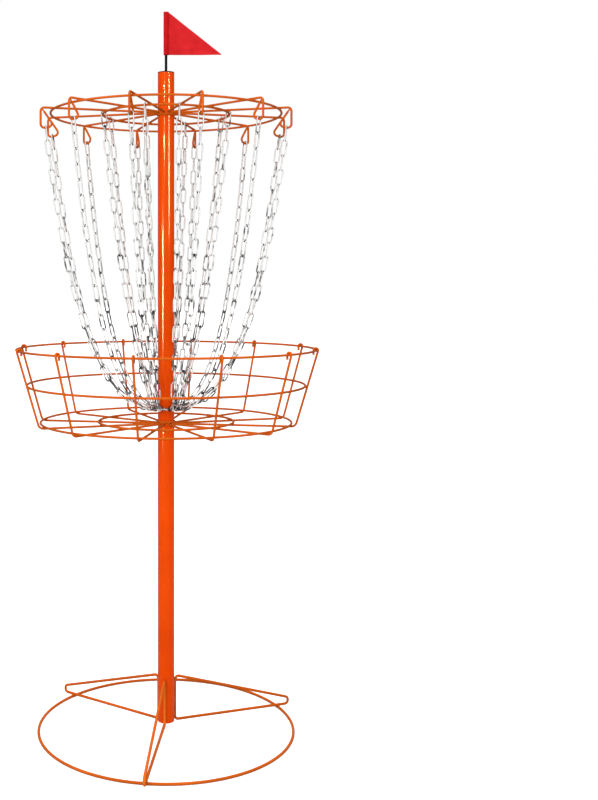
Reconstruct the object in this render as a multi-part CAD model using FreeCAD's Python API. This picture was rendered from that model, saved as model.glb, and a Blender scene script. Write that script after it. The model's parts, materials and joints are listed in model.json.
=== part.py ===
import FreeCAD, Part
import math
import os

# Portable disc golf basket. Millimetres, +Z up, ground at Z = 0, pole on the Z axis.
# The front of the basket is -Y. Angles are counted from the front and grow towards +X.

# ---- driving dimensions ----
POLE_RADIUS = 15.0          # outside of the steel pole
POLE_WALL = 2.0
SPIGOT_LENGTH = 60.0        # how far a spigot reaches into each pole section it joins
RUNNING_GAP = 0.05          # radial gap of every part that slides in another

BASE_WIRE = 5.0             # wire diameters
CAGE_WIRE = 4.0
LINK_WIRE = 2.5

BASE_RING_RADIUS = 229.0
LEG_ANGLES = {"front": -8.0, "right": 112.0, "left": -128.0}
LEG_OUTER_RADIUS = 249.0
LEG_LOOP_HEIGHT = 12.0      # between wire centres, at the outer end of a leg
LEG_BEND = 6.4
LEG_TOP_HEIGHT = 92.0       # where the line of a leg's upper wire reaches the pole
SOCKET_LOW = 12.0
SOCKET_TOP = 88.0
STOP_BEAD_LOW = 36.0        # rolled bead inside the socket, which the spigot stops above
STOP_BEAD_HEIGHT = 3.0
STOP_BEAD_RADIUS = 11.0
STOP_CLEARANCE = 1.0        # between the bead and the end of the spigot

TRAY_HEIGHT = 554.0         # centre of the tray's floor rings
TRAY_FLOOR_RING_RADIUS = 122.0
TRAY_CORNER_RADIUS = 233.0  # where the line of the wall reaches the floor
TRAY_CORNER_BEND = 10.0
TRAY_RIM_HEIGHT = 685.0
TRAY_RIM_RADIUS = 269.0
TRAY_CURL_DROP = 8.0        # the end of a rib under the centre of the rim it curls over
TRAY_MIDDLE_RING_HEIGHT = 621.0
TRAY_RIB_COUNT = 12
TRAY_FIRST_RIB_ANGLE = -11.0

RACK_HEIGHT = 1108.5        # centre of the chain rack's rings
RACK_INNER_RING_RADIUS = 114.0
RACK_OUTER_RING_RADIUS = 208.0
RACK_SPOKE_COUNT = 12
RACK_FIRST_SPOKE_ANGLE = 15.0
HOOK_OUTER_RADIUS = 228.0
HOOK_HEIGHT = 37.0
HOOK_WIDTH = 24.0
HOOK_RISE = 5.0             # how much the hook's lower wire rises towards the pole
HOOK_BEND = 6.5
HOOK_TIP_INSET = 5.6        # where the hook's end comes back up, from its outer wire
HOOK_TIP_DROP = 6.4         # and how far under the spoke
HOOK_CHAIN_INSET = 9.0      # from the hook's outer wire to the chain

HUB_RING_RADIUS = 15.2      # wire rings pinched between two pole sections
WIRE_END_GAP = 0.2          # clear space round the pole inside the ribs and spokes

COLLECTOR_RADIUS = 24.0     # small ring which gathers the lower ends of the chains
COLLECTOR_HEIGHT = 578.0
COLLECTOR_FRONT_GAP = 29.0  # degrees at its front with no chain
LINK_PITCH = 25.9
LINK_WIDTH = 11.0
LINK_SLACK = 0.70           # play between neighbouring links, along the chain
OUTER_LINK_COUNT = 22
INNER_LINK_COUNT = 21
INNER_CHAIN_ANGLES = (-18.5, 11.5, 79.0, 116.0, 161.0, -161.0, -116.0, -79.0)
INNER_CHAIN_LAG = 3.6       # it ends behind an outer chain which hangs this many degrees off

POLE_TOP = 1184.0
CAP_FLANGE = 1.5
CAP_DEPTH = 24.0
CAP_CLEARANCE = 6.0         # between the cap and the end of the spigot below it
ROD_RADIUS = 2.4
ROD_SOCKET_FLOOR = 2.0
FLAG_LOW = 1217.0
FLAG_TOP = 1295.0
FLAG_LENGTH = 100.0
FLAG_SLEEVE_GAP = 0.1
ROD_TIP_DEPTH = 1.0         # the rod's tip below the top of the sleeve
FLAG_CLOTH = 0.6

# ---- worked out from them ----
BORE_RADIUS = POLE_RADIUS - POLE_WALL
CAGE_WIRE_RADIUS = CAGE_WIRE / 2
BASE_WIRE_RADIUS = BASE_WIRE / 2
RIB_HEIGHT = TRAY_HEIGHT - CAGE_WIRE       # ribs run under the floor rings
SPOKE_HEIGHT = RACK_HEIGHT + CAGE_WIRE     # spokes run over the rack rings
POLE_CLEAR_RADIUS = POLE_RADIUS + WIRE_END_GAP
UP = FreeCAD.Vector(0, 0, 1)
ORIGIN = FreeCAD.Vector(0, 0, 0)
SAME_POINT = 1e-6
HALVINGS = 80               # steps of the search for a chain's catenary


def vector(x, y, z):
    return FreeCAD.Vector(x, y, z)


def at_angle(angle, radius, height):
    """The point at this angle from the front, radius from the pole and height."""
    turn = math.radians(angle)
    return vector(radius * math.sin(turn), -radius * math.cos(turn), height)


def save(name, solids):
    """Write one node: a single solid, or a group of separate ones."""
    shape = solids[0] if len(solids) == 1 else Part.makeCompound(solids)
    shape.exportStep(os.path.join("parts", name + ".step"))


# ---- wire work ----

def rounded_path(corners, bend, closed=False):
    """Straight runs through the corners, with an arc of the bend radius at each of them."""
    count = len(corners)
    turning = range(count) if closed else range(1, count - 1)
    leaving = list(corners)
    arriving = list(corners)
    arcs = {}
    for i in turning:
        corner = corners[i]
        back = (corners[i - 1] - corner).normalize()
        ahead = (corners[(i + 1) % count] - corner).normalize()
        half = back.getAngle(ahead) / 2
        reach = bend / math.tan(half)
        centre = corner + (back + ahead).normalize() * (bend / math.sin(half))
        arriving[i] = corner + back * reach
        leaving[i] = corner + ahead * reach
        middle = centre + (corner - centre).normalize() * bend
        arcs[i] = Part.Arc(arriving[i], middle, leaving[i]).toShape()
    edges = []
    for i in range(count if closed else count - 1):
        following = (i + 1) % count
        if leaving[i].distanceToPoint(arriving[following]) > SAME_POINT:
            edges.append(Part.makeLine(leaving[i], arriving[following]))
        if following in arcs:
            edges.append(arcs[following])
    return Part.Wire(edges)


def wire_along(path, radius):
    """A round wire bent along the path."""
    first = path.OrderedEdges[0]
    start = first.valueAt(first.FirstParameter)
    heading = first.tangentAt(first.FirstParameter)
    outline = Part.Wire([Part.makeCircle(radius, start, heading)])
    solid = path.makePipeShell([outline], True, False)
    return Part.Solid(solid.Shells[0]) if solid.ShapeType != "Solid" else solid


def in_radial_plane(points, angle):
    """Points given as (distance from the pole, height), stood up at this angle."""
    return [at_angle(angle, radius, height) for radius, height in points]


def ring(radius, height, wire_radius):
    return Part.makeTorus(radius, wire_radius, vector(0, 0, height), UP)


# ---- pole ----

def tube(outer, inner, low, high):
    place = vector(0, 0, low)
    outside = Part.makeCylinder(outer, high - low, place)
    return outside.cut(Part.makeCylinder(inner, high - low, place))


def spigot(fixed_low, fixed_high, free_end):
    """Inner sleeve: pressed into one pole section, free to slide in the next one."""
    inner = BORE_RADIUS - POLE_WALL
    pressed = tube(BORE_RADIUS, inner, fixed_low, fixed_high)
    low, high = sorted((fixed_high if free_end > fixed_high else fixed_low, free_end))
    sliding = tube(BORE_RADIUS - RUNNING_GAP, inner, low, high)
    return pressed.fuse(sliding)


def base_socket():
    body = tube(POLE_RADIUS, BORE_RADIUS, SOCKET_LOW, SOCKET_TOP)
    bead_top = STOP_BEAD_LOW + STOP_BEAD_HEIGHT
    return body.fuse(tube(BORE_RADIUS, STOP_BEAD_RADIUS, STOP_BEAD_LOW, bead_top))


def pole_cap():
    """Plug in the top of the pole, with a blind hole for the flag rod."""
    plug = Part.makeCylinder(BORE_RADIUS, CAP_DEPTH, vector(0, 0, POLE_TOP - CAP_DEPTH))
    flange = Part.makeCylinder(POLE_RADIUS, CAP_FLANGE, vector(0, 0, POLE_TOP))
    floor = POLE_TOP - CAP_DEPTH + ROD_SOCKET_FLOOR
    hole_depth = POLE_TOP + CAP_FLANGE - floor
    hole = Part.makeCylinder(ROD_RADIUS + RUNNING_GAP, hole_depth, vector(0, 0, floor))
    return plug.fuse(flange).cut(hole)


def save_pole():
    hub_half = CAGE_WIRE_RADIUS
    lower_top = TRAY_HEIGHT - hub_half
    middle_low = TRAY_HEIGHT + hub_half
    middle_top = RACK_HEIGHT - hub_half
    top_low = RACK_HEIGHT + hub_half
    socket_floor = STOP_BEAD_LOW + STOP_BEAD_HEIGHT + STOP_CLEARANCE
    save("base_socket", [base_socket()])
    save("pole_lower", [tube(POLE_RADIUS, BORE_RADIUS, SOCKET_TOP, lower_top)])
    save("pole_middle", [tube(POLE_RADIUS, BORE_RADIUS, middle_low, middle_top)])
    save("pole_top", [tube(POLE_RADIUS, BORE_RADIUS, top_low, POLE_TOP)])
    save("spigot_base", [spigot(SOCKET_TOP, SOCKET_TOP + SPIGOT_LENGTH, socket_floor)])
    save("spigot_tray", [spigot(lower_top - SPIGOT_LENGTH, lower_top, lower_top + SPIGOT_LENGTH)])
    rack_free_end = POLE_TOP - CAP_DEPTH - CAP_CLEARANCE
    save("spigot_rack", [spigot(middle_top - SPIGOT_LENGTH, middle_top, rack_free_end)])
    save("pole_cap", [pole_cap()])


# ---- base ----

def base_leg(angle):
    """Closed loop of wire, standing on the base ring and welded to the socket."""
    inner = POLE_RADIUS + BASE_WIRE_RADIUS
    ring_height = BASE_WIRE_RADIUS + BASE_WIRE
    fall = (SOCKET_LOW - ring_height) / (BASE_RING_RADIUS - inner)
    outer_low = ring_height - fall * (LEG_OUTER_RADIUS - BASE_RING_RADIUS)
    outline = [
        (inner, SOCKET_LOW),
        (inner, LEG_TOP_HEIGHT),
        (LEG_OUTER_RADIUS, outer_low + LEG_LOOP_HEIGHT),
        (LEG_OUTER_RADIUS, outer_low),
    ]
    path = rounded_path(in_radial_plane(outline, angle), LEG_BEND, closed=True)
    return wire_along(path, BASE_WIRE_RADIUS)


def save_base():
    save("base_ring", [ring(BASE_RING_RADIUS, BASE_WIRE_RADIUS, BASE_WIRE_RADIUS)])
    for side, angle in LEG_ANGLES.items():
        save("base_leg_" + side, [base_leg(angle)])


# ---- tray ----

def wall_lean():
    """Tangent and cosine of the tray wall's lean from the upright."""
    run = TRAY_RIM_RADIUS + CAGE_WIRE - TRAY_CORNER_RADIUS
    lean = math.atan2(run, TRAY_RIM_HEIGHT - RIB_HEIGHT)
    return math.tan(lean), math.cos(lean)


def wall_radius(height):
    """Where the centre of a rib is at this height."""
    slope, cosine = wall_lean()
    at_rim = TRAY_RIM_RADIUS + CAGE_WIRE / cosine
    return at_rim - slope * (TRAY_RIM_HEIGHT - height)


def tray_rib(angle):
    """From the hub, out under the floor rings, up outside the wall and over the rim."""
    curl_top = TRAY_RIM_HEIGHT + CAGE_WIRE
    curl_inside = TRAY_RIM_RADIUS - CAGE_WIRE
    floor = [(POLE_CLEAR_RADIUS, RIB_HEIGHT), (wall_radius(RIB_HEIGHT), RIB_HEIGHT)]
    top = [
        (wall_radius(curl_top), curl_top),
        (curl_inside, curl_top),
        (curl_inside, TRAY_RIM_HEIGHT - TRAY_CURL_DROP),
    ]
    halfway = (TRAY_HEIGHT + TRAY_RIM_HEIGHT) / 2
    middle = (wall_radius(halfway), halfway)
    lower = rounded_path(in_radial_plane(floor + [middle], angle), TRAY_CORNER_BEND)
    upper = rounded_path(in_radial_plane([middle] + top, angle), CAGE_WIRE)
    return wire_along(Part.Wire(lower.OrderedEdges + upper.OrderedEdges), CAGE_WIRE_RADIUS)


def save_tray():
    slope, cosine = wall_lean()
    corner = math.pi / 2 - math.atan(slope)
    bottom_radius = wall_radius(RIB_HEIGHT) - TRAY_CORNER_BEND * math.tan(corner / 2)
    middle_radius = wall_radius(TRAY_MIDDLE_RING_HEIGHT) - CAGE_WIRE / cosine
    rings = {
        "tray_hub_ring": (HUB_RING_RADIUS, TRAY_HEIGHT),
        "tray_floor_ring": (TRAY_FLOOR_RING_RADIUS, TRAY_HEIGHT),
        "tray_bottom_ring": (bottom_radius, TRAY_HEIGHT),
        "tray_middle_ring": (middle_radius, TRAY_MIDDLE_RING_HEIGHT),
        "tray_rim_ring": (TRAY_RIM_RADIUS, TRAY_RIM_HEIGHT),
    }
    for name, (radius, height) in rings.items():
        save(name, [ring(radius, height, CAGE_WIRE_RADIUS)])
    for i in range(TRAY_RIB_COUNT):
        angle = TRAY_FIRST_RIB_ANGLE + i * 360 / TRAY_RIB_COUNT
        save(f"tray_rib_{i + 1:02d}", [tray_rib(angle)])


# ---- chain rack ----

def rack_spoke(angle):
    """From the hub, out over the rack rings, then bent down into a closed chain hook."""
    low = SPOKE_HEIGHT - HOOK_HEIGHT
    outline = [
        (POLE_CLEAR_RADIUS, SPOKE_HEIGHT),
        (HOOK_OUTER_RADIUS, SPOKE_HEIGHT),
        (HOOK_OUTER_RADIUS, low),
        (HOOK_OUTER_RADIUS - HOOK_WIDTH, low + HOOK_RISE),
        (HOOK_OUTER_RADIUS - HOOK_TIP_INSET, SPOKE_HEIGHT - HOOK_TIP_DROP),
    ]
    path = rounded_path(in_radial_plane(outline, angle), HOOK_BEND)
    return wire_along(path, CAGE_WIRE_RADIUS)


def save_rack():
    rings = {
        "rack_hub_ring": HUB_RING_RADIUS,
        "rack_inner_ring": RACK_INNER_RING_RADIUS,
        "rack_outer_ring": RACK_OUTER_RING_RADIUS,
    }
    for name, radius in rings.items():
        save(name, [ring(radius, RACK_HEIGHT, CAGE_WIRE_RADIUS)])
    save("rack_spokes", [rack_spoke(angle) for angle in spoke_angles()])


def spoke_angles():
    step = 360 / RACK_SPOKE_COUNT
    return [RACK_FIRST_SPOKE_ANGLE + i * step for i in range(RACK_SPOKE_COUNT)]


# ---- chains ----

def chain_link():
    """A long link lying on the X axis, its width along Y."""
    end = (LINK_WIDTH - LINK_WIRE) / 2
    half = (LINK_PITCH + LINK_SLACK + LINK_WIRE) / 2 - end
    arcs = [
        Part.Arc(vector(half, -end, 0), vector(half + end, 0, 0), vector(half, end, 0)),
        Part.Arc(vector(-half, end, 0), vector(-half - end, 0, 0), vector(-half, -end, 0)),
    ]
    near, far = [arc.toShape() for arc in arcs]
    upper = Part.makeLine(vector(half, end, 0), vector(-half, end, 0))
    lower = Part.makeLine(vector(-half, -end, 0), vector(half, -end, 0))
    return wire_along(Part.Wire([near, upper, far, lower]), LINK_WIRE / 2)


class HangingCurve:
    """The catenary of a given length between two points, measured along itself."""

    def __init__(self, start, end, length):
        self.start = start
        across = end - start
        self.rise = across.z
        self.outward = vector(across.x, across.y, 0)
        self.run = self.outward.Length
        self.outward.normalize()
        target = math.sqrt(length ** 2 - self.rise ** 2) / self.run
        low, high = SAME_POINT, 10.0
        for _ in range(HALVINGS):
            middle = (low + high) / 2
            if math.sinh(middle) / middle < target:
                low = middle
            else:
                high = middle
        self.scale = self.run / (2 * low)
        tilt = math.atanh(self.rise / length)
        self.first = tilt - low
        self.at_start = math.sinh(self.first)

    def point(self, distance):
        """The point this far along the curve; it may lie just past either end."""
        place = math.asinh(distance / self.scale + self.at_start)
        along = self.scale * (place - self.first)
        climb = self.scale * (math.cosh(place) - math.cosh(self.first))
        return self.start + self.outward * along + UP * climb


def hung_chain(link, top, bottom, count, first_is_broad):
    """Links threaded from the wire at the top to the wire at the bottom."""
    overhang = CAGE_WIRE_RADIUS + LINK_SLACK / 2
    curve = HangingCurve(top, bottom, count * LINK_PITCH - 2 * overhang)
    sideways = curve.outward.cross(UP)
    solids = []
    for i in range(count):
        start = curve.point(i * LINK_PITCH - overhang)
        end = curve.point((i + 1) * LINK_PITCH - overhang)
        along = (end - start).normalize()
        broad = (i % 2 == 0) == first_is_broad
        width = sideways if broad else along.cross(sideways)
        thickness = along.cross(width)
        solid = link.copy()
        turn = FreeCAD.Rotation(along, width, thickness, "XYZ")
        solid.Placement = FreeCAD.Placement((start + end) / 2, turn)
        solids.append(solid)
    return solids


def chain_tops():
    """Place in the order round the pole, name and upper end of every chain."""
    hook_low = SPOKE_HEIGHT - HOOK_HEIGHT + HOOK_RISE * HOOK_CHAIN_INSET / HOOK_WIDTH
    hook_radius = HOOK_OUTER_RADIUS - HOOK_CHAIN_INSET
    tops = []
    for i, angle in enumerate(spoke_angles()):
        top = at_angle(angle, hook_radius, hook_low)
        tops.append((angle % 360, f"chain_outer_{i + 1:02d}", top))
    for i, angle in enumerate(INNER_CHAIN_ANGLES):
        top = at_angle(angle, RACK_INNER_RING_RADIUS, RACK_HEIGHT)
        place = angle + math.copysign(INNER_CHAIN_LAG, angle)
        tops.append((place % 360, f"chain_inner_{i + 1:02d}", top))
    return sorted(tops, key=lambda top: top[0])


def chain_ends():
    """Name, upper and lower end of every chain. The lower ends share the collector ring
    evenly, apart from the gap at its front."""
    tops = chain_tops()
    step = (360 - COLLECTOR_FRONT_GAP) / (len(tops) - 1)
    ends = []
    for i, (_, name, top) in enumerate(tops):
        angle = COLLECTOR_FRONT_GAP / 2 + i * step
        ends.append((name, top, at_angle(angle, COLLECTOR_RADIUS, COLLECTOR_HEIGHT)))
    return ends


def save_chains():
    link = chain_link()
    for name, top, bottom in chain_ends():
        outer = name.startswith("chain_outer")
        count = OUTER_LINK_COUNT if outer else INNER_LINK_COUNT
        save(name, hung_chain(link, top, bottom, count, outer))
    save("chain_collector", [ring(COLLECTOR_RADIUS, COLLECTOR_HEIGHT, CAGE_WIRE_RADIUS)])


# ---- flag ----

def flag():
    """Pennant: a sleeve on the rod and a flat triangle of cloth pointing to +X."""
    sleeve_inner = ROD_RADIUS + FLAG_SLEEVE_GAP
    sleeve = tube(sleeve_inner + FLAG_CLOTH, sleeve_inner, FLAG_LOW, FLAG_TOP)
    corners = [
        vector(sleeve_inner + FLAG_CLOTH / 2, -FLAG_CLOTH / 2, FLAG_LOW),
        vector(FLAG_LENGTH, -FLAG_CLOTH / 2, FLAG_LOW),
        vector(sleeve_inner + FLAG_CLOTH / 2, -FLAG_CLOTH / 2, FLAG_TOP),
    ]
    panel = Part.Face(Part.makePolygon(corners + corners[:1])).extrude(vector(0, FLAG_CLOTH, 0))
    return sleeve.fuse(panel)


def save_flag():
    floor = POLE_TOP - CAP_DEPTH + ROD_SOCKET_FLOOR
    rod_top = FLAG_TOP - ROD_TIP_DEPTH
    save("flag_rod", [Part.makeCylinder(ROD_RADIUS, rod_top - floor, vector(0, 0, floor))])
    save("flag", [flag()])


os.makedirs("parts", exist_ok=True)
save_pole()
save_base()
save_tray()
save_rack()
save_chains()
save_flag()
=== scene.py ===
import json
import math
import random

import bmesh
import bpy
import numpy as np
from mathutils import Matrix, Vector


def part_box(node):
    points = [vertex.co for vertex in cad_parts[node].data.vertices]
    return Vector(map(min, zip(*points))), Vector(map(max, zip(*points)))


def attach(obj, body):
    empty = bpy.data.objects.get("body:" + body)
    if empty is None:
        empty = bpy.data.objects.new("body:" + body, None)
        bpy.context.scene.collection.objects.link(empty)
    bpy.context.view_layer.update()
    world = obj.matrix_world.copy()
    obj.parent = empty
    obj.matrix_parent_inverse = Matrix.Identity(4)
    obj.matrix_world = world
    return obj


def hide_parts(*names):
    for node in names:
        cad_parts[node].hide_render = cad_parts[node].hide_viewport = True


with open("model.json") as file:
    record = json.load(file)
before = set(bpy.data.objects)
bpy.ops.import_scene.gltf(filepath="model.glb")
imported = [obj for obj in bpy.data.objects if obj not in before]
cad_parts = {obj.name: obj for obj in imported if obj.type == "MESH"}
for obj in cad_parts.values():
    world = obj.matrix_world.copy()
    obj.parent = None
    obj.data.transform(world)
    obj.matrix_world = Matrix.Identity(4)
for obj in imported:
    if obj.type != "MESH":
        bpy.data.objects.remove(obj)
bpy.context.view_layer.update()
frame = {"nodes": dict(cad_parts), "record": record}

# Metres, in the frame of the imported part: +Z up, the pole on the Z axis, the front towards -Y.
# Angles are counted from the front and grow towards +X, in radians.

MM = 0.001
UP = Vector((0, 0, 1))
SAME_POINT = 1e-6
LATHE_SIDES = 96
CORNER_STEPS = 4            # steps round a rounded corner of an outline
LIP = 0.6 * MM              # rounding of a tube's cut end
ROD_GAP = 0.05 * MM         # round the flag rod in the cap
LINK_SIDES = 14             # sides of a chain link's wire
LINK_BEND_STEPS = 9         # steps round each end of a link
LINK_STRAIGHT_SHARES = (0.3, 0.45, 0.55, 0.7)   # points along each straight side of a link
LINK_WELD_BURR = 1.13       # how much thicker a link's wire is at its butt weld
LINK_ROLL = 11              # degrees that a hanging link may be rolled about its length
END_LINK_ROLL = 2
chance = random.Random(4)

# ---- reading the frame ----


def points_of(node):
    """The corner points of a CAD node's mesh, as an array."""
    return np.array([v.co for v in frame["nodes"][node].data.vertices])


def radii_of(points):
    return np.hypot(points[:, 0], points[:, 1])


def ring_size(node):
    """Radius, height and wire radius of a wire ring round the pole."""
    low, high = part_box(node)
    wire = (high.z - low.z) / 2
    return radii_of(points_of(node)).max() - wire, (low.z + high.z) / 2, wire


def outward_angle(points):
    """The angle from the front at which a bent wire leaves the pole."""
    radii = radii_of(points)
    far = points[radii > radii.max() - 3 * MM].mean(axis=0)
    return math.atan2(far[0], -far[1])


def at_angle(angle, radius, height):
    return Vector((radius * math.sin(angle), -radius * math.cos(angle), height))


def separate_solids(node):
    """The points of each separate solid in a CAD node, as a list of arrays."""
    mesh = bmesh.new()
    mesh.from_mesh(frame["nodes"][node].data)
    bmesh.ops.remove_doubles(mesh, verts=mesh.verts, dist=SAME_POINT)
    unseen = set(mesh.verts)
    solids = []
    for first in mesh.verts:
        if first not in unseen:
            continue
        unseen.discard(first)
        found = [first]
        for vert in found:
            for edge in vert.link_edges:
                other = edge.other_vert(vert)
                if other in unseen:
                    unseen.discard(other)
                    found.append(other)
        solids.append(np.array([vert.co for vert in found]))
    mesh.free()
    return solids


# ---- mesh work ----


def finished_piece(name, mesh, material, body):
    """Turns a bmesh into a smooth piece of the object that rides on its body."""
    bmesh.ops.recalc_face_normals(mesh, faces=mesh.faces)
    data = bpy.data.meshes.new(name)
    mesh.to_mesh(data)
    mesh.free()
    data.polygons.foreach_set("use_smooth", [True] * len(data.polygons))
    data.materials.append(material)
    piece = bpy.data.objects.new(name, data)
    bpy.context.scene.collection.objects.link(piece)
    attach(piece, body)
    return piece


def stitch_rings(mesh, rings, close_along=False, close_round=True):
    """Quads between neighbouring rings of vertices."""
    count = len(rings)
    sides = len(rings[0])
    for i in range(count if close_along else count - 1):
        here = rings[i]
        there = rings[(i + 1) % count]
        for j in range(sides if close_round else sides - 1):
            k = (j + 1) % sides
            mesh.faces.new((here[j], here[k], there[k], there[j]))


def lathe(mesh, outline):
    """Turns a closed outline of (radius, height) round the pole axis."""
    rings = []
    for i in range(LATHE_SIDES):
        angle = 2 * math.pi * i / LATHE_SIDES
        rings.append([mesh.verts.new(at_angle(angle, r, z)) for r, z in outline])
    stitch_rings(mesh, rings, close_along=True)


def lathe_solid(mesh, outline):
    """Turns an open outline whose two ends lie on the axis."""
    rings = []
    for i in range(LATHE_SIDES):
        angle = 2 * math.pi * i / LATHE_SIDES
        rings.append([mesh.verts.new(at_angle(angle, r, z)) for r, z in outline[1:-1]])
    stitch_rings(mesh, rings, close_along=True, close_round=False)
    for (_, height), end in ((outline[0], 0), (outline[-1], -1)):
        tip = mesh.verts.new((0, 0, height))
        for i, ring in enumerate(rings):
            mesh.faces.new((tip, ring[end], rings[(i + 1) % LATHE_SIDES][end]))


def rounded_corner(corner, before, after, radius):
    """Points of a curve which rounds one corner of an outline."""
    corner = Vector(corner)
    back = (Vector(before) - corner).normalized()
    ahead = (Vector(after) - corner).normalized()
    points = []
    for i in range(CORNER_STEPS + 1):
        share = i / CORNER_STEPS
        near = corner + back * radius * (1 - share) ** 2
        points.append(tuple(near + ahead * radius * share ** 2))
    return points


def rounded_outline(corners, radius, closed=True):
    """An outline with all its corners rounded, or all but the two ends."""
    count = len(corners)
    points = []
    for i, corner in enumerate(corners):
        if not closed and i in (0, count - 1):
            points.append(corner)
            continue
        points += rounded_corner(corner, corners[i - 1], corners[(i + 1) % count], radius)
    return points


def swept_loop(mesh, path, normal, radii):
    """A closed round wire along a flat path. The radius may change from point to point."""
    rings = []
    count = len(path)
    for i, point in enumerate(path):
        ahead = (path[(i + 1) % count] - path[i - 1]).normalized()
        side = ahead.cross(normal)
        ring = []
        for j in range(LINK_SIDES):
            angle = 2 * math.pi * j / LINK_SIDES
            offset = side * math.cos(angle) + normal * math.sin(angle)
            ring.append(mesh.verts.new(point + offset * radii[i]))
        rings.append(ring)
    stitch_rings(mesh, rings, close_along=True)


def blob(mesh, place, along, across, size, rows=7, columns=12):
    """A small lumpy bead, size[0] long each way in the direction along."""
    axes = (along.normalized(), across.normalized(), along.cross(across).normalized())
    lumps = [chance.uniform(0.9, 1.1) for _ in range(columns)]
    rings = []
    for i in range(1, rows):
        polar = math.pi * i / rows
        ring = []
        for j in range(columns):
            turn = 2 * math.pi * j / columns
            spread = math.sin(polar) * lumps[j]
            local = (math.cos(polar), spread * math.cos(turn), spread * math.sin(turn))
            offset = sum((axes[k] * local[k] * size[k] for k in range(3)), Vector())
            ring.append(mesh.verts.new(place + offset))
        rings.append(ring)
    stitch_rings(mesh, rings)
    for ring, sign in ((rings[0], 1), (rings[-1], -1)):
        tip = mesh.verts.new(place + axes[0] * size[0] * sign)
        for j in range(columns):
            mesh.faces.new((tip, ring[j], ring[(j + 1) % columns]))


# ---- materials ----

PAINTED_DARK_BELOW = 0.58           # heights between which the painted reflections on the chains turn from mostly dark to mostly light
PAINTED_BRIGHT_ABOVE = 1.05
SCUFF_COLOUR = (0.66, 0.06, 0.004, 1)


class Tree:
    """The node tree of a material or of the world, built up by short calls."""

    def __init__(self, owner):
        owner.use_nodes = True
        self.nodes = owner.node_tree.nodes
        self.links = owner.node_tree.links

    def feed(self, node, inputs):
        """Gives a node's inputs a value each, or a link from another node's output."""
        for key, value in inputs.items():
            if isinstance(value, bpy.types.NodeSocket):
                self.links.new(value, node.inputs[key])
            else:
                node.inputs[key].default_value = value

    def add(self, kind, inputs, **settings):
        node = self.nodes.new("ShaderNode" + kind)
        for name, value in settings.items():
            setattr(node, name, value)
        self.feed(node, inputs)
        return node

    def spread(self, value, start, end, low, high):
        """Maps start to end smoothly to low to high."""
        limits = {"Value": value, "From Min": start, "From Max": end, "To Min": low, "To Max": high}
        return self.add("MapRange", limits, interpolation_type="SMOOTHSTEP").outputs["Result"]

    def math(self, operation, first, second):
        return self.add("Math", {0: first, 1: second}, operation=operation).outputs[0]

    def mix(self, share, first, second):
        """A colour between two colours."""
        return self.add("Mix", {0: share, 6: first, 7: second}, data_type="RGBA").outputs[2]


class Shader(Tree):
    """A Principled material whose patterns are in metres on the object."""

    def __init__(self, name):
        self.material = bpy.data.materials.new(name)
        super().__init__(self.material)
        self.surface = self.nodes["Principled BSDF"]
        self.place = self.add("TexCoord", {}).outputs["Object"]

    def finish(self, **inputs):
        self.feed(self.surface, {name.replace("_", " "): value for name, value in inputs.items()})
        return self.material

    def noise(self, scale, detail=3.0, stretch=(1, 1, 1)):
        place = self.add("Mapping", {"Vector": self.place, "Scale": stretch}).outputs["Vector"]
        pattern = {"Vector": place, "Scale": scale, "Detail": detail}
        return self.add("TexNoise", pattern).outputs["Fac"]

    def wave(self, direction, scale):
        pattern = {"Vector": self.place, "Scale": scale}
        return self.add("TexWave", pattern, bands_direction=direction).outputs["Fac"]

    def shades(self, value, low, high, start=0.3, end=0.7):
        """Turns a pattern into a run from one colour to another."""
        return self.mix(self.spread(value, start, end, 0, 1), (*low, 1), (*high, 1))

    def bump(self, height, depth, strength, below=None):
        inputs = {"Height": height, "Distance": depth, "Strength": strength}
        if below:
            inputs["Normal"] = below
        return self.add("Bump", inputs).outputs["Normal"]

    def edge_on(self):
        """0 where the surface faces the eye, 1 where it is seen edge on."""
        return self.add("LayerWeight", {"Blend": 0.5}).outputs["Facing"]


def powder_coat(name, deep, bright, rim_shade, rim_start, roughness, shine):
    """Orange powder coat: orange peel, soft shifts of shade, dull scuffs, and painted shade
    that darkens it where it is seen edge on, where it also has no shine."""
    coat = Shader(name)
    face = coat.shades(coat.noise(9, detail=2), deep, bright)
    scuff = coat.spread(coat.noise(55, detail=6, stretch=(1, 1, 0.4)), 0.62, 0.72, 0, 1)
    face = coat.mix(coat.math("MULTIPLY", scuff, 0.35), face, SCUFF_COLOUR)
    # Painted shade: the coat's colour runs towards rim_shade where the surface is seen edge on.
    rim = coat.spread(coat.edge_on(), rim_start, 1, 0, 1)
    gloss = coat.spread(coat.noise(420, detail=2), 0.35, 0.75, roughness, 2 * roughness)
    peel = coat.bump(coat.noise(700, detail=1), 0.05 * MM, 0.2)
    return coat.finish(
        Base_Color=coat.mix(rim, face, (*rim_shade, 1)),
        Roughness=coat.math("ADD", gloss, coat.math("MULTIPLY", scuff, 0.05)),
        Normal=coat.bump(coat.noise(90, detail=2), 0.15 * MM, 0.02, below=peel),
        Specular_IOR_Level=coat.math("MULTIPLY", shine, coat.math("SUBTRACT", 1, rim)),
        Specular_Tint=(1.0, 0.7, 0.35, 1),
    )


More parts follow.
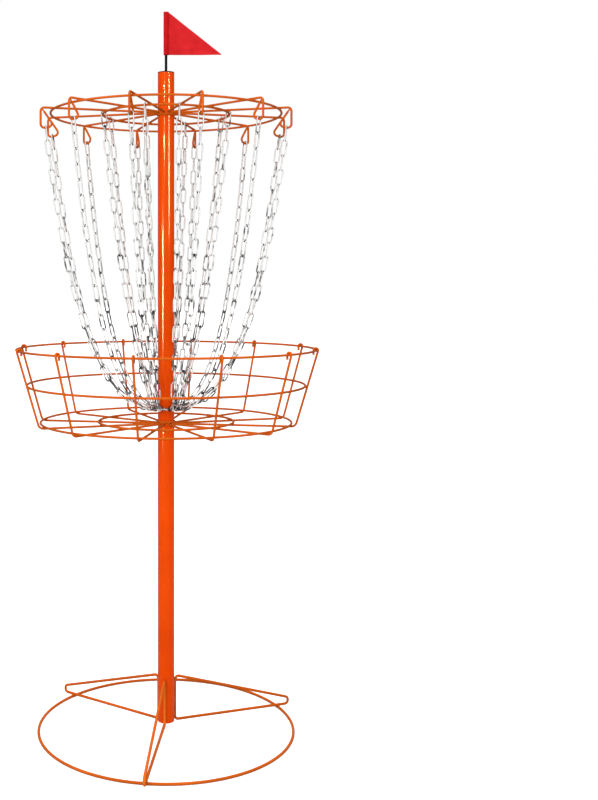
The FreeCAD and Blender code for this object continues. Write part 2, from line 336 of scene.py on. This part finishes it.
def zinc():
    """Zinc plating, bright, with dark patches painted in as reflections of a dark room;
    the painted reflections grow denser towards the lower ends of the chains. Where links touch, an
    occlusion mask paints them black: painted shade."""
    metal = Shader("zinc_plating")
    fine = metal.bump(metal.noise(1500, detail=1), 0.05 * MM, 0.3)
    height = metal.add("SeparateXYZ", {0: metal.place}).outputs["Z"]
    # Painted light: the painted dark reflections thin out towards the tops of the chains.
    painted_brightening = metal.spread(height, PAINTED_DARK_BELOW, PAINTED_BRIGHT_ABOVE, 0, 0.15)
    painted_glint_pattern = metal.math("ADD", metal.noise(50), painted_brightening)
    # Painted reflections: the dark colour stands for links that mirror a dark room; the light
    # colour is the plating's own.
    plate_with_painted_reflections = metal.shades(painted_glint_pattern, (0.08, 0.085, 0.09), (0.97, 0.97, 0.95), 0.40, 0.60)
    # Painted shade: an occlusion mask blackens the links where they touch each other.
    open_air = metal.add("AmbientOcclusion", {"Distance": 4 * MM}).outputs["AO"]
    painted_joint_shade = metal.spread(open_air, 0.55, 0.92, 1, 0)
    return metal.finish(
        Metallic=1.0,
        Base_Color=metal.mix(painted_joint_shade, plate_with_painted_reflections, (0.02, 0.02, 0.02, 1)),
        Roughness=metal.spread(metal.noise(260), 0.3, 0.75, 0.08, 0.24),
        Normal=metal.bump(metal.noise(320, detail=2), 0.12 * MM, 0.3, below=fine),
    )


def bare_steel():
    """Drawn steel tube: long scratches along the pole and a thin film of oil."""
    steel = Shader("bare_steel")
    drawn = steel.noise(60, stretch=(40, 40, 1))
    return steel.finish(
        Metallic=1.0,
        Base_Color=steel.shades(drawn, (0.34, 0.34, 0.35), (0.6, 0.6, 0.61)),
        Roughness=steel.spread(drawn, 0.3, 0.7, 0.28, 0.5),
        Normal=steel.bump(drawn, 0.05 * MM, 0.5),
    )


def black_plastic():
    """Moulded plastic with a fine even grain."""
    plastic = Shader("black_plastic")
    grain = plastic.noise(900, detail=2)
    return plastic.finish(
        Base_Color=plastic.shades(grain, (0.008, 0.008, 0.009), (0.022, 0.022, 0.024)),
        Roughness=plastic.spread(grain, 0.3, 0.7, 0.38, 0.55),
        Normal=plastic.bump(grain, 0.06 * MM, 0.5),
        Specular_IOR_Level=0.2,
    )


def rod_fibre():
    """Black glass-fibre rod: satin, with fibres along its length."""
    rod = Shader("black_rod")
    fibre = rod.noise(300, detail=2, stretch=(12, 12, 0.5))
    return rod.finish(
        Base_Color=rod.shades(fibre, (0.002, 0.002, 0.002), (0.008, 0.008, 0.009)),
        Roughness=rod.spread(fibre, 0.3, 0.7, 0.4, 0.6),
        Normal=rod.bump(fibre, 0.04 * MM, 0.5),
        Specular_IOR_Level=0.02,
    )


def flag_cloth(name, deep, bright):
    """Woven polyester: a plain weave in the bump, soft shifts of shade and a deep sheen."""
    cloth = Shader(name)
    warp = cloth.wave("X", 310)
    weft = cloth.wave("Z", 310)
    creases = cloth.bump(cloth.noise(30, detail=4), 1.2 * MM, 0.12)
    return cloth.finish(
        Base_Color=cloth.shades(cloth.noise(35, detail=2), deep, bright),
        Roughness=0.8,
        Normal=cloth.bump(cloth.math("MULTIPLY", warp, weft), 0.08 * MM, 0.5, below=creases),
        Specular_IOR_Level=0.05,
        Sheen_Weight=0.03,
        Sheen_Tint=(1.0, 0.15, 0.15, 1),
    )


def paint_cad_nodes(looks):
    """Gives every CAD node the material of its slot."""
    slots = {part["node"]: part["material_slot"] for part in frame["record"]["subparts"]}
    for name, node in frame["nodes"].items():
        node.data.materials.clear()
        node.data.materials.append(looks[slots[name]])


# ---- pole ----


def pole_section(node, body, material):
    """A pole section with the lips of its cut ends rounded."""
    low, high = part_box(node)
    bore = radii_of(points_of(node)).min()
    corners = [(high.x, low.z), (high.x, high.z), (bore, high.z), (bore, low.z)]
    mesh = bmesh.new()
    lathe(mesh, rounded_outline(corners, LIP))
    piece = finished_piece(node + "_tube", mesh, material, body)
    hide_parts(node)
    return piece


def base_socket(material):
    """The socket with the rolled groove of its stop bead inside."""
    points = points_of("base_socket")
    radii = radii_of(points)
    bead = points[radii < radii.min() + 0.1 * MM][:, 2]
    low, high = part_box("base_socket")
    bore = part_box("spigot_base")[1].x
    corners = [
        (high.x, low.z),
        (high.x, high.z),
        (bore, high.z),
        (bore, bead.max()),
        (radii.min(), bead.max()),
        (radii.min(), bead.min()),
        (bore, bead.min()),
        (bore, low.z),
    ]
    mesh = bmesh.new()
    lathe(mesh, rounded_outline(corners, LIP))
    piece = finished_piece("base_socket_tube", mesh, material, "base")
    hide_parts("base_socket")


def pole_cap(material):
    """The plug: a soft-edged flange and a hole for the flag rod."""
    low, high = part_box("pole_cap")
    rod_low, rod_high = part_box("flag_rod")
    hole = rod_high.x + ROD_GAP
    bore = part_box("spigot_base")[1].x
    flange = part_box("pole_top")[1].z
    corners = [
        (0, low.z),
        (bore - LIP, low.z),
        (bore, low.z + 2 * LIP),
        (bore, flange),
        (high.x, flange),
        (high.x, high.z),
        (hole, high.z),
        (hole, rod_low.z),
        (0, rod_low.z),
    ]
    mesh = bmesh.new()
    lathe_solid(mesh, rounded_outline(corners, LIP / 2, closed=False))
    piece = finished_piece("pole_cap_plug", mesh, material, "top_pole")
    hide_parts("pole_cap")


# ---- chains ----


def link_path(centre, long_axis, wide_axis, half_length, half_width):
    """Centre line of a link: two round ends joined by straight sides."""
    path = []
    straight = half_length - half_width
    for sign in (1, -1):
        for i in range(LINK_BEND_STEPS + 1):
            angle = math.pi * i / LINK_BEND_STEPS - math.pi / 2
            along = sign * (straight + half_width * math.cos(angle))
            aside = sign * half_width * math.sin(angle)
            path.append(centre + long_axis * along + wide_axis * aside)
        for share in LINK_STRAIGHT_SHARES:
            along = sign * straight * (1 - 2 * share)
            path.append(centre + long_axis * along + wide_axis * sign * half_width)
    return path


def link_radii(count, wire):
    """The wire's radius round the link, with the small burr of its butt weld on one side."""
    radii = [wire] * count
    weld = LINK_BEND_STEPS + 1 + len(LINK_STRAIGHT_SHARES) // 2
    radii[weld - 1] = radii[weld] = wire * LINK_WELD_BURR
    return radii


def add_link(mesh, points, loose):
    """A link in the place of the CAD link, rolled a little about its length as it hangs."""
    mean = points.mean(axis=0)
    axes = np.linalg.eigh(np.cov((points - mean).T))[1]
    local = (points - mean) @ axes
    centre = Vector(mean + axes @ ((local.max(axis=0) + local.min(axis=0)) / 2))
    wire, half_width, half_length = np.ptp(local, axis=0) / 2
    long_axis = Vector(axes[:, 2])
    roll = Matrix.Rotation(math.radians(chance.uniform(-loose, loose)), 3, long_axis)
    wide_axis = roll @ Vector(axes[:, 1])
    path = link_path(centre, long_axis, wide_axis, half_length - wire, half_width - wire)
    swept_loop(mesh, path, long_axis.cross(wide_axis), link_radii(len(path), wire))


def hanging_chain(node, material):
    """All the links of one chain. The end links can't roll as far as the others."""
    solids = sorted(separate_solids(node), key=lambda points: points[:, 2].mean())
    mesh = bmesh.new()
    for i, points in enumerate(solids):
        at_an_end = i in (0, len(solids) - 1)
        add_link(mesh, points, END_LINK_ROLL if at_an_end else LINK_ROLL)
    piece = finished_piece(node + "_links", mesh, material, node)
    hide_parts(node)


# ---- welds ----

TACK_RISES = (10 * MM, 36 * MM, 62 * MM)    # of the tacks, above the socket's lower end
TACK_HALF_LENGTH = 5.5 * MM
TIP_INWARD = (2.3, 6)       # wire radii in from the hook's outer wire, where only its tip lies
TIP_DOWN = (2.3, 5)         # wire radii down from the top of the spoke


def welds(name, body, beads, material):
    """Weld beads under the paint. A bead is a place, two directions and a size."""
    mesh = bmesh.new()
    for place, along, across, size in beads:
        blob(mesh, place, along, across, size)
    return finished_piece(name, mesh, material, body)


def cross_size(wire):
    """Half sizes of the bead where one wire crosses another."""
    return (wire * 1.25, wire * 1.1, wire * 0.75)


def base_welds(material):
    """Tacks down both sides of each leg's upright wire, and where a leg crosses the ring."""
    ring_radius, ring_height, wire = ring_size("base_ring")
    low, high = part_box("base_socket")
    tack_size = (TACK_HALF_LENGTH, wire * 0.6, wire * 0.55)
    beads = []
    for leg in ("base_leg_front", "base_leg_right", "base_leg_left"):
        angle = outward_angle(points_of(leg))
        outward = at_angle(angle, 1, 0)
        sideways = outward.cross(UP)
        crossing = at_angle(angle, ring_radius, ring_height + wire)
        beads.append((crossing, sideways, outward, cross_size(wire)))
        for rise in TACK_RISES:
            tack = at_angle(angle, high.x + 0.3 * wire, low.z + rise)
            for side in (-1, 1):
                beads.append((tack + sideways * side * wire * 0.6, UP, outward, tack_size))
    return welds("base_welds", "base", beads, material)


def tray_welds(material):
    """Where each rib crosses the rings of the floor, the wall and the rim."""
    rim_radius, rim_height, wire = ring_size("tray_rim_ring")
    middle_radius, middle_height, _ = ring_size("tray_middle_ring")
    lean = math.atan2(rim_radius - middle_radius, rim_height - middle_height)
    beads = []
    for rib in sorted(name for name in frame["nodes"] if name.startswith("tray_rib")):
        angle = outward_angle(points_of(rib))
        outward = at_angle(angle, 1, 0)
        sideways = outward.cross(UP)
        for ring in ("tray_hub_ring", "tray_floor_ring", "tray_bottom_ring"):
            radius, height, _ = ring_size(ring)
            place = at_angle(angle, radius, height - wire)
            beads.append((place, sideways, outward, cross_size(wire)))
        wall = outward * math.sin(lean) + UP * math.cos(lean)
        for radius, height in ((middle_radius, middle_height), (rim_radius, rim_height)):
            reach = radius + wire * math.cos(lean)
            place = at_angle(angle, reach, height - wire * math.sin(lean))
            beads.append((place, sideways, wall, cross_size(wire)))
    welds("tray_welds", "tray", beads, material)


def hook_tip(spoke, wire):
    """Where the bent-back end of a spoke closes its hook, under the outer corner."""
    inward = (radii_of(spoke).max() - radii_of(spoke)) / wire
    down = (spoke[:, 2].max() - spoke[:, 2]) / wire
    inside = (inward > TIP_INWARD[0]) & (inward < TIP_INWARD[1])
    under = (down > TIP_DOWN[0]) & (down < TIP_DOWN[1])
    return Vector(spoke[inside & under].mean(axis=0))


def rack_welds(material):
    """Where each spoke crosses the rings, and where its hook closes."""
    beads = []
    for spoke in separate_solids("rack_spokes"):
        angle = outward_angle(spoke)
        outward = at_angle(angle, 1, 0)
        sideways = outward.cross(UP)
        for ring in ("rack_hub_ring", "rack_inner_ring", "rack_outer_ring"):
            radius, height, wire = ring_size(ring)
            place = at_angle(angle, radius, height + wire)
            beads.append((place, sideways, outward, cross_size(wire)))
        corner = (outward + UP).normalized()
        closing_size = (wire * 1.9, wire * 0.8, wire * 0.8)
        place = hook_tip(spoke, wire) + corner * wire * 0.8
        beads.append((place, corner, sideways, closing_size))
    welds("rack_welds", "rack", beads, material)


# ---- flag ----

CLOTH = 0.35 * MM
SLEEVE_BACK = 4.6 * MM      # the sleeve's fold, behind the rod
SLEEVE_SEAM = 5.0 * MM      # the line of stitches in front of the rod
SLEEVE_SLACK = 0.9 * MM     # between the rod and the cloth beside it
SLEEVE_PINCH = 0.75         # how much flatter the sleeve is at its seam
TUCK = 1.2 * MM             # how far the panel reaches into the sleeve
HEM = 4.0 * MM
STITCH = 1.0 * MM           # half a stitch
STITCH_STEP = 2.8 * MM
STITCH_SIZE = (STITCH, 0.28 * MM, 0.25 * MM)
SWAY = 1.6 * MM             # how far the cloth swings out at the tip
RIPPLE = 0.5 * MM
BLUNT_TIP = 0.015           # share of the height left at the tip


class Pennant:
    """The shape of the flag: where the cloth hangs at a share of its length and height."""

    def __init__(self):
        self.low, self.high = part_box("flag")
        self.tall = self.high.z - self.low.z
        self.start = SLEEVE_SEAM - TUCK
        self.reach = self.high.x - self.start

    def height_at(self, out):
        """The height of the triangle at this share of its length, blunt at its tip."""
        return self.tall * (1 - (1 - BLUNT_TIP) * out)

    def point(self, out, up):
        """out runs from the sleeve to the tip, up from the lower edge to the slanted one."""
        sway = math.sin(out * 5.2 + up * 0.9) * SWAY * out
        ripple = math.sin(out * 13 - up * 2.1) * RIPPLE * out
        height = self.low.z + self.height_at(out) * up
        return Vector((self.start + self.reach * out, sway + ripple, height))

    def edge_distance(self, out, up):
        """How far a point of the cloth is from the nearer of the two hemmed edges."""
        slant = math.atan2(self.tall, self.reach)
        to_top = self.height_at(out) * (1 - up) * math.cos(slant)
        return min(self.height_at(out) * up, to_top)


def flag_sleeve(material):
    """The double cloth round the rod, flattened where it is stitched to itself."""
    low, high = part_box("flag")
    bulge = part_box("flag_rod")[1].x + SLEEVE_SLACK
    rows, steps = 40, 28
    mesh = bmesh.new()
    rings = []
    for i in range(rows + 1):
        height = low.z + (high.z - low.z) * i / rows
        ring = []
        for j in range(steps):
            turn = 2 * math.pi * j / steps
            x = (SLEEVE_SEAM + SLEEVE_BACK) / 2 * math.cos(turn) + (SLEEVE_SEAM - SLEEVE_BACK) / 2
            pinch = 1 - SLEEVE_PINCH * max(0.0, math.cos(turn)) ** 3
            ring.append(mesh.verts.new((x, bulge * math.sin(turn) * pinch, height)))
        rings.append(ring)
    stitch_rings(mesh, rings)
    sleeve = finished_piece("flag_sleeve", mesh, material, "flag")
    shell = sleeve.modifiers.new("cloth", "SOLIDIFY")
    shell.thickness = CLOTH
    shell.offset = -1
    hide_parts("flag")


def flag_panel(pennant, material):
    """The rippled triangle of cloth, twice as thick where its edges are hemmed."""
    columns, rows = 90, 48
    mesh = bmesh.new()
    grid = []
    hemmed = []
    for i in range(columns + 1):
        column = []
        for j in range(rows + 1):
            out, up = i / columns, j / rows
            if pennant.edge_distance(out, up) < HEM:
                hemmed.append(i * (rows + 1) + j)
            column.append(mesh.verts.new(pennant.point(out, up)))
        grid.append(column)
    stitch_rings(mesh, grid, close_round=False)
    panel = finished_piece("flag_panel", mesh, material, "flag")
    panel.vertex_groups.new(name="hem").add(hemmed, 1.0, "REPLACE")
    shell = panel.modifiers.new("cloth", "SOLIDIFY")
    shell.thickness = 2 * CLOTH
    shell.offset = 0
    shell.vertex_group = "hem"
    shell.thickness_vertex_group = 0.5


def point_between(first, last, share):
    return [a + (b - a) * share for a, b in zip(first, last)]


def stitch_row(mesh, pennant, first, last):
    """Stitches on both sides of the cloth between two points given as (out, up)."""
    length = (pennant.point(*last) - pennant.point(*first)).length
    count = int(length / STITCH_STEP)
    for i in range(count):
        shares = [(i + 0.5) / count + half * STITCH / length for half in (-1, 1)]
        ends = [pennant.point(*point_between(first, last, share)) for share in shares]
        along = ends[1] - ends[0]
        level = abs(along.x) > abs(along.z)
        outward = along.cross(UP if level else Vector((1, 0, 0))).normalized()
        for side in (-1, 1):
            place = (ends[0] + ends[1]) / 2 + outward * side * CLOTH
            blob(mesh, place, along, outward, STITCH_SIZE, rows=4, columns=6)


def flag_stitches(pennant, material):
    """One row inside each hem, and two rows which close the sleeve."""
    mesh = bmesh.new()
    inset = 0.75 * HEM / pennant.tall
    stitch_row(mesh, pennant, (0.02, inset), (0.93, 0.5))
    stitch_row(mesh, pennant, (0.02, 1 - inset * 1.3), (0.93, 0.5))
    for out in (0.012, 0.03):
        stitch_row(mesh, pennant, (out, 0.01), (out, 0.99))
    finished_piece("flag_stitches", mesh, material, "flag")


# ---- stage ----

CAMERA_DISTANCE = 1.944
CAMERA_HEIGHT = 0.798
CAMERA_LENS = 48.3
SENSOR_WIDTH = 36
FRAME_SHIFT = (0.1662, -0.142)
STRIP_DISTANCE = 1.6
STRIP_WIDTH = 0.25
SOFTBOX_DISTANCE = 1.35
FLOOR_HALF = 40
FLOOR_GLOW = 0.45           # lifts the floor to the white of the background
WHITE = (1, 1, 1, 1)


def camera():
    data = bpy.data.cameras.new("camera")
    data.lens = CAMERA_LENS
    data.sensor_width = SENSOR_WIDTH
    data.shift_x, data.shift_y = FRAME_SHIFT
    eye = bpy.data.objects.new("camera", data)
    eye.location = (0, -CAMERA_DISTANCE, CAMERA_HEIGHT)
    eye.rotation_euler = (math.pi / 2, 0, 0)
    bpy.context.scene.collection.objects.link(eye)
    bpy.context.scene.camera = eye


def softbox(name, place, target, width, tall, power):
    """A soft light, seen by nothing but the matt part of the surfaces."""
    data = bpy.data.lights.new(name, "AREA")
    data.energy = power
    data.shape = "RECTANGLE"
    data.size = width
    data.size_y = tall
    light = bpy.data.objects.new(name, data)
    light.location = place
    light.rotation_euler = (target - place).to_track_quat("-Z", "Y").to_euler()
    bpy.context.scene.collection.objects.link(light)
    light.visible_camera = False
    light.visible_glossy = False
    return light


def falls_only_on(light, pieces):
    """Keeps a light off everything but these pieces."""
    group = bpy.data.collections.new(light.name + "_pieces")
    for piece in pieces:
        group.objects.link(piece)
    light.light_linking.receiver_collection = group


def highlight_strip(name, pole_pieces, degrees, low, high, power):
    """An upright strip between two heights, which only makes a highlight down the pole."""
    middle = (low + high) / 2
    place = at_angle(math.radians(degrees), STRIP_DISTANCE, middle)
    light = softbox(name, place, Vector((0, 0, middle)), STRIP_WIDTH, high - low, power)
    light.visible_glossy = True
    light.visible_diffuse = False
    falls_only_on(light, pole_pieces)


def studio_world():
    """White to the camera. Matt surfaces get more light from above than from the side.
    Shiny ones see white round the camera, straight ahead of it and overhead, and dark
    between, which draws dark outlines on bright wire."""
    world = bpy.data.worlds.new("studio")
    tree = Tree(world)
    world.cycles.sampling_method = "NONE"   # so that each kind of ray sees only its own light
    direction = tree.add("TexCoord", {}).outputs["Generated"]
    height = tree.add("SeparateXYZ", {0: direction}).outputs["Z"]
    spaces = {"convert_from": "WORLD", "convert_to": "CAMERA"}
    turned = tree.add("VectorTransform", {0: direction}, vector_type="VECTOR", **spaces)
    depth = tree.add("SeparateXYZ", {0: turned.outputs[0]}).outputs["Z"]
    matt = tree.spread(height, -0.1, 1.0, 0.62, 1.35)
    near = tree.spread(depth, -0.55, -0.05, 1.1, 0.02)
    beyond = tree.spread(depth, 0.6, 0.9, 0.0, 1.0)
    above = tree.spread(height, 0.5, 0.8, 0.0, 0.9)
    shiny = tree.math("MAXIMUM", tree.math("MAXIMUM", near, beyond), above)
    rays = tree.add("LightPath", {}).outputs
    result = tree.add("Background", {"Color": WHITE, "Strength": matt}).outputs[0]
    for ray, strength in (("Is Glossy Ray", shiny), ("Is Camera Ray", 1.0)):
        light = tree.add("Background", {"Color": WHITE, "Strength": strength}).outputs[0]
        result = tree.add("MixShader", {0: rays[ray], 1: result, 2: light}).outputs[0]
    tree.feed(tree.nodes["World Output"], {"Surface": result})
    bpy.context.scene.world = world


def floor():
    """A wide pale floor, which looks white but throws little light back up."""
    mesh = bmesh.new()
    corners = ((-1, -1), (1, -1), (1, 1), (-1, 1))
    mesh.faces.new([mesh.verts.new((x * FLOOR_HALF, y * FLOOR_HALF, 0)) for x, y in corners])
    data = bpy.data.meshes.new("floor")
    mesh.to_mesh(data)
    mesh.free()
    ground = bpy.data.objects.new("floor", data)
    bpy.context.scene.collection.objects.link(ground)
    pale = Shader("floor")
    rays = pale.add("LightPath", {}).outputs
    shade = pale.shades(pale.noise(2), (0.80, 0.80, 0.80), (0.84, 0.84, 0.84))
    data.materials.append(pale.finish(
        Base_Color=pale.mix(rays["Is Diffuse Ray"], shade, (0.35, 0.35, 0.35, 1)),
        Roughness=0.95,
        Specular_IOR_Level=0.0,
        Emission_Color=WHITE,
        Emission_Strength=pale.math("MULTIPLY", rays["Is Camera Ray"], FLOOR_GLOW),
    ))


def stage(pole_pieces, leg_pieces):
    bpy.context.scene.view_settings.view_transform = "Standard"
    floor()
    studio_world()
    middle = Vector((0, 0, 0.65))
    foot = Vector((0, 0, 0.05))
    front = math.radians(-12)
    in_front = at_angle(front, SOFTBOX_DISTANCE, 0.9)
    behind = at_angle(front + math.pi, SOFTBOX_DISTANCE, 0.9)
    near_floor = at_angle(front, SOFTBOX_DISTANCE, 0.3)
    softbox("front_softbox", in_front, middle, width=0.8, tall=2.2, power=16)
    softbox("rear_softbox", behind, middle, width=0.8, tall=2.2, power=12)
    leg_light = softbox("leg_softbox", near_floor, foot, width=0.8, tall=0.6, power=11)
    falls_only_on(leg_light, leg_pieces)
    highlight_strip("right_strip", pole_pieces, degrees=43, low=1.03, high=1.70, power=230)
    highlight_strip("left_strip", pole_pieces, degrees=-44, low=0.52, high=1.07, power=280)
    highlight_strip("top_strip", pole_pieces, degrees=-23, low=1.38, high=1.54, power=110)


# ---- the basket ----


def build():
    coat = powder_coat(
        "orange_powder_coat",
        deep=(0.70, 0.054, 0.0004),
        bright=(0.79, 0.068, 0.0009),
        rim_shade=(0.30, 0.030, 0.001),
        rim_start=0.45,
        roughness=0.08,
        shine=0.08,
    )
    # Painted shade: the wires get a darker, browner copy of the pole's orange coat.
    painted_shade_wire_coat = powder_coat(
        "orange_wire_coat",
        deep=(0.48, 0.088, 0.007),
        bright=(0.62, 0.110, 0.010),
        rim_shade=(0.33, 0.075, 0.012),
        rim_start=0.4,
        roughness=0.25,
        shine=0.01,
    )
    plated = zinc()
    plastic = black_plastic()
    panel_cloth = flag_cloth("flag_cloth", (0.53, 0.014, 0.017), (0.65, 0.021, 0.025))
    sleeve_cloth = flag_cloth("flag_sleeve_cloth", (0.42, 0.007, 0.008), (0.52, 0.010, 0.012))
    thread = flag_cloth("flag_thread", (0.45, 0.010, 0.012), (0.62, 0.018, 0.02))
    paint_cad_nodes({
        "orange_powder_coat": painted_shade_wire_coat,
        "zinc_plated_steel": plated,
        "bare_steel": bare_steel(),
        "black_plastic": plastic,
        "black_rod": rod_fibre(),
        "flag_cloth": panel_cloth,
    })
    pole = [
        pole_section("pole_lower", "lower_pole", coat),
        pole_section("pole_middle", "middle_pole", coat),
        pole_section("pole_top", "top_pole", coat),
    ]
    base_socket(coat)
    front_leg = [base_welds(painted_shade_wire_coat), frame["nodes"]["base_leg_front"]]
    pole_cap(plastic)
    for node in sorted(frame["nodes"]):
        if node.startswith(("chain_outer", "chain_inner")):
            hanging_chain(node, plated)
    tray_welds(painted_shade_wire_coat)
    rack_welds(painted_shade_wire_coat)
    pennant = Pennant()
    flag_sleeve(sleeve_cloth)
    flag_panel(pennant, panel_cloth)
    flag_stitches(pennant, thread)
    return pole, front_leg


stage(*build())
camera()
